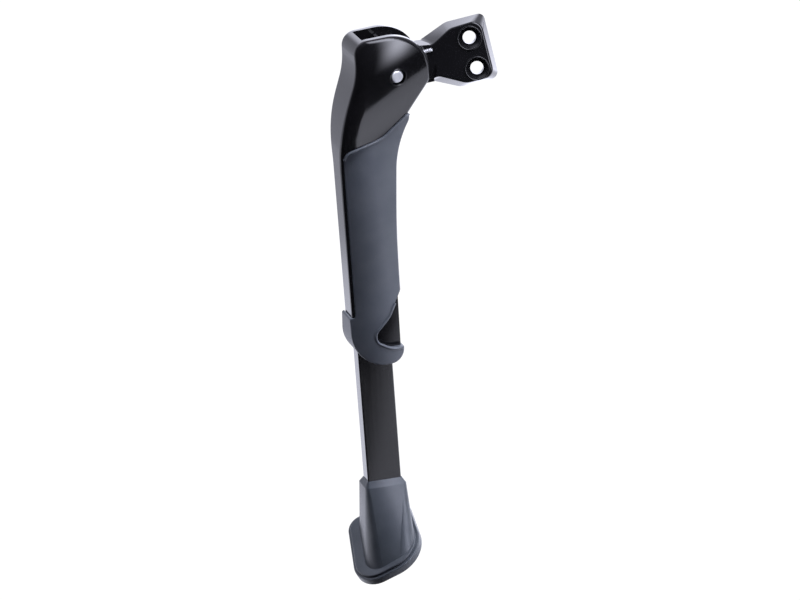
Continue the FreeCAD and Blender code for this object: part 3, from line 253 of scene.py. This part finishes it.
def add_softbox(name, direction, distance, width, height, radiance):
    """A rectangular lamp that faces the middle of the stand."""
    lamp_data = bpy.data.lights.new(name, "AREA")
    lamp_data.shape = "RECTANGLE"
    lamp_data.size = width
    lamp_data.size_y = height
    lamp_data.energy = math.pi * width * height * radiance
    lamp = bpy.data.objects.new(name, lamp_data)
    bpy.context.scene.collection.objects.link(lamp)
    away = Vector(direction).normalized()
    lamp.location = lamp_target + away * distance
    lamp.rotation_mode = "QUATERNION"
    lamp.rotation_quaternion = away.to_track_quat("Z", "Y")
    lamp.visible_camera = False
    lamp.visible_glossy = False


add_softbox("top_back_box", (-0.05, 0.75, 0.75), 1.3, 1.6, 1.0, 2.5)
add_softbox("left_back_box", (-0.80, 0.55, 0.30), 1.3, 0.8, 0.9, 0.6)
add_softbox("overhead_box", (0.15, -0.25, 0.95), 1.2, 0.9, 0.9, 18.0)
add_softbox("right_side_box", (0.93, -0.08, 0.30), 1.2, 0.9, 1.1, 9.0)
print("lamps:", len(bpy.data.lights))

# %% [markdown]
# ## The room
#
# The world is what the gloss paint mirrors above the table: a bright wall behind the stand with a
# light over it, a faint glow in the ceiling, a brighter patch of wall to the back right, and a tall
# softbox in front, to the right of the camera, which makes the glow on the head's dome. Each is a
# smooth spot in the direction that we look, so no picture of a room is needed. A matte surface only
# gets a faint even light from it, and the camera sees white.

# %% Light the room
world = bpy.data.worlds.new("studio")
bpy.context.scene.world = world
world.use_nodes = True
tree = world.node_tree
tree.nodes.clear()
direction = add_node(tree, "ShaderNodeTexCoord").outputs["Generated"]


def toward(axis):
    """How far the looked-at direction points along an axis, from -1 to 1."""
    return measure(tree, direction, Vector(axis).normalized())


behind = remap(tree, toward((0, 1, 0)), -0.25, 0.45, 0.03, 1.0)
overhead = remap(tree, toward((-0.03, 0.80, 0.60)), 0.80, 0.97, 0.0, 3.0)
ceiling = remap(tree, toward((-0.3, 0.1, 0.95)), 0.75, 0.97, 0.0, 0.8)
right_wall = remap(tree, toward((0.56, 0.82, 0.0)), 0.80, 0.97, 0.0, 2.3)
sideways = toward((0.829, 0.559, 0))
box_left = remap(tree, sideways, -0.36, -0.02)
box_right = remap(tree, sideways, 0.36, 0.02)
box_low = remap(tree, toward((0, 0, 1)), -0.50, 0.05)
box_high = remap(tree, toward((0, 0, 1)), 0.90, 0.75)
box_ahead = remap(tree, toward((0.559, -0.829, 0)), 0.15, 0.35, 0.0, 10.0)
softbox = times(tree, times(tree, box_left, box_right), times(tree, box_low, box_high))
softbox = times(tree, softbox, box_ahead)
mirrored = add_up(tree, [behind, overhead, ceiling, right_wall, softbox])
even_light = 0.16
path = add_node(tree, "ShaderNodeLightPath")
seen_straight = calculate(tree, "MAXIMUM", path.outputs["Is Camera Ray"],
                          path.outputs["Is Transmission Ray"])
soft = add_node(tree, "ShaderNodeMix", {0: path.outputs["Is Glossy Ray"], 2: even_light, 3: mirrored},
                data_type="FLOAT")
level = add_node(tree, "ShaderNodeMix", {0: seen_straight, 2: soft.outputs[0], 3: 1.0},
                 data_type="FLOAT")
tint = mix_colour(tree, seen_straight, cool_light, (1, 1, 1, 1))
room = add_node(tree, "ShaderNodeBackground", {"Color": tint, "Strength": level.outputs[0]})
add_node(tree, "ShaderNodeOutputWorld", {"Surface": room.outputs[0]})
print("the room has", len(tree.nodes), "nodes")

# %% [markdown]
# ## Effects that the finishes share
#
# Real paint, plastic and rubber are never perfectly even or flat. Each of these effects becomes a
# node group that a material places with its own values: a fine grain for moulded plastic and
# rubber, a slow unevenness for paint and metal, fine lines drawn along a bar, and a crown that
# rounds a front face towards its left edge.


# %% Make the shared node groups
def new_group(name, inputs, outputs):
    """An empty node group with named number sockets."""
    group = bpy.data.node_groups.new(name, "ShaderNodeTree")
    for label, value in inputs:
        socket = group.interface.new_socket(name=label, in_out="INPUT", socket_type="NodeSocketFloat")
        socket.default_value = value
    for label in outputs:
        group.interface.new_socket(name=label, in_out="OUTPUT", socket_type="NodeSocketFloat")
    return group, group.nodes.new("NodeGroupInput"), group.nodes.new("NodeGroupOutput")


def make_grain_group():
    """Fine pebbled grain: a height for bump and a mask for colour."""
    group, start, end = new_group("moulded_grain", [("Scale", 2500.0), ("Cloud Scale", 60.0)],
                                  ["Height", "Cloud"])
    place = add_node(group, "ShaderNodeTexCoord").outputs["Object"]
    pebbles = add_node(group, "ShaderNodeTexVoronoi", {"Vector": place, "Scale": start.outputs["Scale"]},
                       feature="SMOOTH_F1")
    dust = add_node(group, "ShaderNodeTexNoise", {"Vector": place, "Scale": start.outputs["Scale"],
                                                  "Detail": 2.0})
    height = calculate(group, "ADD", pebbles.outputs["Distance"], dust.outputs[0])
    cloud = add_node(group, "ShaderNodeTexNoise", {"Vector": place, "Detail": 3.0,
                                                   "Scale": start.outputs["Cloud Scale"]})
    group.links.new(height, end.inputs["Height"])
    group.links.new(cloud.outputs[0], end.inputs["Cloud"])
    return group


def make_unevenness_group():
    """Slow waves in paint, and small specks that settled in it."""
    group, start, end = new_group("paint_unevenness", [("Wave Scale", 45.0), ("Speck Scale", 1500.0)],
                                  ["Wave", "Specks"])
    place = add_node(group, "ShaderNodeTexCoord").outputs["Object"]
    wave = add_node(group, "ShaderNodeTexNoise", {"Vector": place, "Detail": 1.0,
                                                  "Scale": start.outputs["Wave Scale"]})
    specks = add_node(group, "ShaderNodeTexNoise", {"Vector": place, "Detail": 4.0,
                                                    "Scale": start.outputs["Speck Scale"]})
    group.links.new(wave.outputs[0], end.inputs["Wave"])
    group.links.new(specks.outputs[0], end.inputs["Specks"])
    return group


def make_drawn_lines_group():
    """Fine lines along the leg, as a drawn or extruded bar has them."""
    group, start, end = new_group("drawn_lines", [("Across Scale", 2500.0), ("Along Scale", 12.0)],
                                  ["Lines"])
    place = add_node(group, "ShaderNodeTexCoord").outputs["Object"]
    axes = []
    for axis, scale in ((across_leg, "Across Scale"), (behind_leg, "Across Scale"),
                        (along_leg, "Along Scale")):
        axes.append(times(group, measure(group, place, axis), start.outputs[scale]))
    stretched = add_node(group, "ShaderNodeCombineXYZ", {"X": axes[0], "Y": axes[1], "Z": axes[2]})
    lines = add_node(group, "ShaderNodeTexNoise", {"Vector": stretched.outputs[0], "Scale": 1.0,
                                                   "Detail": 3.0})
    group.links.new(lines.outputs[0], end.inputs["Lines"])
    return group


def make_crown_group():
    """How far a front face falls back, in metres, from a line along the leg to its left edge.

    The slant moves that line to the right, in metres for each metre down the leg.
    """
    group, start, end = new_group("front_crown", [("Line", -0.017), ("Slant", 0.0), ("Radius", 0.06)],
                                  ["Height"])
    place = add_node(group, "ShaderNodeTexCoord").outputs["Object"]
    from_hinge = combine(group, "SUBTRACT", place, hinge)
    across = measure(group, from_hinge, across_leg)
    along = measure(group, from_hinge, along_leg)
    line = calculate(group, "SUBTRACT", start.outputs["Line"],
                     times(group, along, start.outputs["Slant"]))
    left = calculate(group, "MAXIMUM", calculate(group, "SUBTRACT", line, across), 0.0)
    bowl = calculate(group, "DIVIDE", times(group, left, left), start.outputs["Radius"])
    group.links.new(times(group, bowl, -0.5), end.inputs["Height"])
    return group


grain_group = make_grain_group()
crown_group = make_crown_group()
unevenness_group = make_unevenness_group()
drawn_lines_group = make_drawn_lines_group()
print("groups:", sorted(group.name for group in bpy.data.node_groups))

# %% [markdown]
# ## Two helpers for materials
#
# A material here is one Principled shader. Values that are the same all over sit on its own sockets,
# and what changes over the surface comes from a group that is placed beside it.


# %% Helpers for materials
def place_group(tree, group, values=None):
    node = tree.nodes.new("ShaderNodeGroup")
    node.node_tree = group
    for name, value in (values or {}).items():
        node.inputs[name].default_value = value
    return node


def new_material(name, **constants):
    """A material with one Principled shader whose even values sit on its own sockets."""
    material = bpy.data.materials.new(name)
    material.use_nodes = True
    tree = material.node_tree
    tree.nodes.clear()
    shader = add_node(tree, "ShaderNodeBsdfPrincipled")
    for label, value in constants.items():
        shader.inputs[label].default_value = value
    add_node(tree, "ShaderNodeOutputMaterial", {"Surface": shader.outputs[0]})
    return material, tree, shader


print("material helpers are ready")

# %% [markdown]
# ## Gloss black paint
#
# The bracket and the housing are painted in the same gloss black, thick enough to round small
# edges. A black colour with a low roughness gives clear reflections with soft edges, and slow
# waves in the paint keep a flat face from looking like glass. The housing's front rounds off to the
# left, which the crown group adds. Its front cheek also swells round the hinge, more than the
# solid's own rounding does, and that spreads the softbox's reflection into a glow. The mesh stays as
# it is, so the shader's normal does it: it leans more with each millimetre up and across the cheek
# from the hinge, and only on the outside of that cheek.


# %% Mix the gloss black paint
up_cheek = Vector((-0.27730, -0.33255, 0.90142))
across_cheek = Vector((0.91687, 0.18865, 0.35165))
up_radius = 0.058
across_radius = 0.085


def swollen_normal(tree):
    """The surface normal, leaning away from the hinge on the outside of the front cheek."""
    coordinates = add_node(tree, "ShaderNodeTexCoord")
    from_hinge = combine(tree, "SUBTRACT", coordinates.outputs["Object"], hinge)
    facing = remap(tree, measure(tree, coordinates.outputs["Normal"], behind_leg), -0.6, -0.95)
    outside = remap(tree, measure(tree, from_hinge, behind_leg), -0.0075, -0.0095)
    shown = times(tree, facing, outside)
    above = calculate(tree, "MAXIMUM", measure(tree, from_hinge, up_cheek), 0.0)
    beside = times(tree, measure(tree, from_hinge, across_cheek), remap(tree, above, 0.0, 0.010))
    leans = []
    for distance, axis, radius in ((above, up_cheek, up_radius), (beside, across_cheek, across_radius)):
        amount = times(tree, times(tree, distance, shown), 1 / radius)
        leans.append(add_node(tree, "ShaderNodeVectorMath", {0: axis, "Scale": amount},
                              operation="SCALE").outputs["Vector"])
    lean = add_node(tree, "ShaderNodeVectorTransform", {"Vector": combine(tree, "ADD", *leans)},
                    vector_type="VECTOR", convert_from="OBJECT", convert_to="WORLD").outputs["Vector"]
    plain = add_node(tree, "ShaderNodeNewGeometry").outputs["Normal"]
    return add_node(tree, "ShaderNodeVectorMath", {0: combine(tree, "ADD", plain, lean)},
                    operation="NORMALIZE").outputs["Vector"]


def make_black_paint(name, swollen):
    material, tree, shader = new_material(name)
    uneven = place_group(tree, unevenness_group)
    colour = mix_colour(tree, uneven.outputs["Wave"], (0.003, 0.003, 0.0038, 1),
                        (0.006, 0.006, 0.0078, 1))
    tree.links.new(colour, shader.inputs["Base Color"])
    tree.links.new(remap(tree, uneven.outputs["Wave"], 0.2, 0.8, 0.08, 0.15), shader.inputs["Roughness"])
    bump = add_node(tree, "ShaderNodeBump", {"Strength": 0.06, "Distance": 0.0001,
                                             "Height": uneven.outputs["Specks"]})
    tree.links.new(bump.outputs[0], shader.inputs["Normal"])
    if swollen:
        rounding = place_group(tree, crown_group, {"Line": -0.0185, "Slant": -0.15, "Radius": 0.030})
        bowl = add_node(tree, "ShaderNodeBump", {"Strength": 1.0, "Distance": 1.0,
                                                 "Height": rounding.outputs["Height"],
                                                 "Normal": swollen_normal(tree)})
        tree.links.new(bowl.outputs[0], bump.inputs["Normal"])
    return material


bracket_paint = make_black_paint("black_bracket_paint", swollen=False)
housing_paint = make_black_paint("black_housing_paint", swollen=True)
print("paints:", bracket_paint.name, "and", housing_paint.name)

# %% [markdown]
# ## Black anodised bar
#
# The leg is an extruded bar with a satin black skin. Fine drawn lines run along it. They show
# as streaks at the glancing sides, so they drive both the roughness and a faint bump.

# %% Mix the anodised black
anodised_black, tree, shader = new_material("black_anodised_bar")
lines = place_group(tree, drawn_lines_group)
colour = mix_colour(tree, lines.outputs["Lines"], (0.006, 0.006, 0.007, 1), (0.016, 0.016, 0.018, 1))
tree.links.new(colour, shader.inputs["Base Color"])
tree.links.new(remap(tree, lines.outputs["Lines"], 0.3, 0.7, 0.12, 0.20), shader.inputs["Roughness"])
bump = add_node(tree, "ShaderNodeBump", {"Strength": 0.04, "Distance": 0.0001,
                                         "Height": lines.outputs["Lines"]})
tree.links.new(bump.outputs[0], shader.inputs["Normal"])
print("made", anodised_black.name)

# %% [markdown]
# ## Grey plastic and rubber
#
# The cover is a matte, slightly blue-grey plastic and the foot a darker, bluer rubber. Both
# are moulded with a fine grain, so both use the grain group, once finer and once coarser. Their
# fronts round off to the left, more than the solids do, and the crown group adds that under the
# grain.


# %% Mix the moulded plastics
def make_moulded(name, dark, light, roughness, scale, depth, crown):
    material, tree, shader = new_material(name)
    grain = place_group(tree, grain_group, {"Scale": scale})
    colour = mix_colour(tree, remap(tree, grain.outputs["Cloud"], 0.25, 0.75), dark, light)
    tree.links.new(colour, shader.inputs["Base Color"])
    tree.links.new(remap(tree, grain.outputs["Height"], 0.2, 1.2, roughness - 0.06, roughness + 0.06),
                   shader.inputs["Roughness"])
    rounding = place_group(tree, crown_group, crown)
    face = add_node(tree, "ShaderNodeBump", {"Strength": 1.0, "Distance": 1.0,
                                             "Height": rounding.outputs["Height"]})
    bump = add_node(tree, "ShaderNodeBump", {"Strength": depth, "Distance": 0.0001,
                                             "Height": grain.outputs["Height"],
                                             "Normal": face.outputs[0]})
    tree.links.new(bump.outputs[0], shader.inputs["Normal"])
    return material


cover_plastic = make_moulded("grey_cover_plastic", (0.050, 0.057, 0.076, 1), (0.065, 0.073, 0.094, 1),
                             0.47, 3000.0, 0.22, {"Line": -0.0205, "Slant": 0.065, "Radius": 0.050})
foot_rubber = make_moulded("grey_foot_rubber", (0.027, 0.032, 0.043, 1), (0.040, 0.046, 0.059, 1),
                           0.42, 2200.0, 0.30, {"Line": -0.015, "Slant": 0.0, "Radius": 0.044})
print("made", cover_plastic.name, "and", foot_rubber.name)

# %% [markdown]
# ## Bright steel and the bearing bush
#
# The pivot pin and the stop pin are turned steel, a little duller than the washers, screws and other
# small pieces. All are bare metal, so they get a metallic shader whose roughness varies finely. The
# bush inside the hub is a warm bronze.


# %% Mix the bare metals
def make_bare_metal(name, dark, light, roughness):
    material, tree, shader = new_material(name, Metallic=1.0)
    uneven = place_group(tree, unevenness_group, {"Wave Scale": 400.0, "Speck Scale": 6000.0})
    colour = mix_colour(tree, uneven.outputs["Wave"], dark, light)
    tree.links.new(colour, shader.inputs["Base Color"])
    tree.links.new(remap(tree, uneven.outputs["Specks"], 0.3, 0.7, roughness - 0.05, roughness + 0.08),
                   shader.inputs["Roughness"])
    return material


pin_steel = make_bare_metal("turned_pin_steel", (0.72, 0.73, 0.75, 1), (0.82, 0.83, 0.85, 1), 0.42)
bright_steel = make_bare_metal("bright_steel", (0.56, 0.57, 0.59, 1), (0.68, 0.69, 0.71, 1), 0.24)
bush_bronze = make_bare_metal("bush_bronze", (0.42, 0.28, 0.13, 1), (0.55, 0.38, 0.19, 1), 0.35)
print("metals:", pin_steel.name, bright_steel.name, bush_bronze.name)

# %% [markdown]
# ## Dress the CAD nodes
#
# The CAD pieces whose shape is already right keep their mesh and only change their material.

# %% Hand out the finishes
finishes = {
    "mount_bracket": bracket_paint,
    "leg_housing": housing_paint,
    "cover": cover_plastic,
    "leg_bar": anodised_black,
    "foot": foot_rubber,
    "pivot_bush": bush_bronze,
    "pivot_pin": pin_steel,
    "stop_pin": pin_steel,
}
for name, node in nodes.items():
    node.data.materials.clear()
    node.data.materials.append(finishes.get(name, bright_steel))
print("dressed", len(nodes), "nodes")

# %% [markdown]
# ## Rounded rims
#
# Paint gathers on an edge, and a moulding has a small bead round its openings. Both show as thin
# light lines. They could be bevelled on a copy of the whole part, but a bead laid along the sharp
# edges keeps the CAD mesh as it is: we copy the mesh, keep only the sharp edges of one rim, make
# them a curve and give the curve a round section.


# %% Lay a bead along a rim
merge_distance = 0.00001
sharp_angle = math.radians(40)


def in_leg(point):
    """A point's place across, behind and along the leg, in millimetres from the hinge."""
    from_hinge = (point - hinge) * 1000
    return from_hinge.dot(across_leg), from_hinge.dot(behind_leg), from_hinge.dot(along_leg)


def lay_bead(name, source, radius, is_rim, finish, shift=(0, 0, 0)):
    """A round bead along the sharp edges of a node whose middles pass a test."""
    bpy.ops.object.select_all(action="DESELECT")
    bead = bpy.data.objects.new(name, nodes[source].data.copy())
    bpy.context.scene.collection.objects.link(bead)
    bpy.context.view_layer.objects.active = bead
    bead.select_set(True)
    bpy.ops.object.mode_set(mode="EDIT")
    bpy.ops.mesh.select_mode(type="EDGE")
    bpy.ops.mesh.select_all(action="SELECT")
    bpy.ops.mesh.remove_doubles(threshold=merge_distance)
    bpy.ops.mesh.select_all(action="DESELECT")
    bpy.ops.mesh.edges_select_sharp(sharpness=sharp_angle)
    mesh = bmesh.from_edit_mesh(bead.data)
    for edge in mesh.edges:
        edge.select = edge.select and is_rim((edge.verts[0].co + edge.verts[1].co) / 2)
    kept = sum(edge.select for edge in mesh.edges)
    bmesh.update_edit_mesh(bead.data)
    bpy.ops.mesh.select_all(action="INVERT")
    bpy.ops.mesh.delete(type="EDGE")
    bpy.ops.object.mode_set(mode="OBJECT")
    bpy.ops.object.convert(target="CURVE")
    bead = bpy.context.object
    bead.data.bevel_depth = radius
    bead.data.bevel_resolution = 2
    bead.data.use_fill_caps = True
    bpy.ops.object.convert(target="MESH")
    bead = bpy.context.object
    bpy.ops.object.mode_set(mode="EDIT")
    bpy.ops.mesh.select_all(action="SELECT")
    bpy.ops.mesh.normals_make_consistent(inside=False)
    bpy.ops.transform.translate(value=shift)
    bpy.ops.object.mode_set(mode="OBJECT")
    bpy.ops.object.shade_smooth()
    bead.data.materials.clear()
    bead.data.materials.append(finish)
    print(name, "follows", kept, "edges, faces:", len(bead.data.polygons))
    return bead


print("an edge is sharp from", round(math.degrees(sharp_angle)), "degrees")

# %% [markdown]
# ## Which edges get a bead
#
# A rim is found by its place in the leg's own directions. The cover has one along its window and one
# along its top seam. The paint has one round the pin's recess and one round each countersink. The
# seam's edges belong to the housing, so its bead is shifted a little onto the cover.


# %% Find the rims
def is_window_rim(point):
    across, behind, along = in_leg(point)
    return behind < -6.9 and -31 < across < -7.6 and -172.5 < along < -133


def is_seam(point):
    across, behind, along = in_leg(point)
    return -8.6 < behind < -7.0 and -34.9 < across < 7.2 and -44.5 < along < -24.5


def is_pin_seat(point):
    across, behind, along = in_leg(point)
    return behind < -11.0 and 4.5 < math.hypot(across, along) < 5.6


def is_bolt_seat(point):
    near = min(math.hypot(point.x, point.z - bolt_height) for bolt_height in (0.009, -0.009))
    return point.y < -0.004 and 0.0055 < near < 0.0078


lip_shift = 0.0004 * across_leg - 0.0009 * along_leg - 0.0003 * behind_leg
beads = [
    (lay_bead("window_rim", "cover", 0.0008, is_window_rim, cover_plastic), "housing", "grey_plastic"),
    (lay_bead("cover_top_lip", "leg_housing", 0.0007, is_seam, cover_plastic, lip_shift), "housing",
     "grey_plastic"),
    (lay_bead("pin_seat_lip", "leg_housing", 0.0003, is_pin_seat, housing_paint), "housing",
     "black_paint_alloy"),
    (lay_bead("bolt_seat_lips", "mount_bracket", 0.00045, is_bolt_seat, bracket_paint), "bracket",
     "black_paint"),
]
for bead, body, slot in beads:
    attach(bead, body)
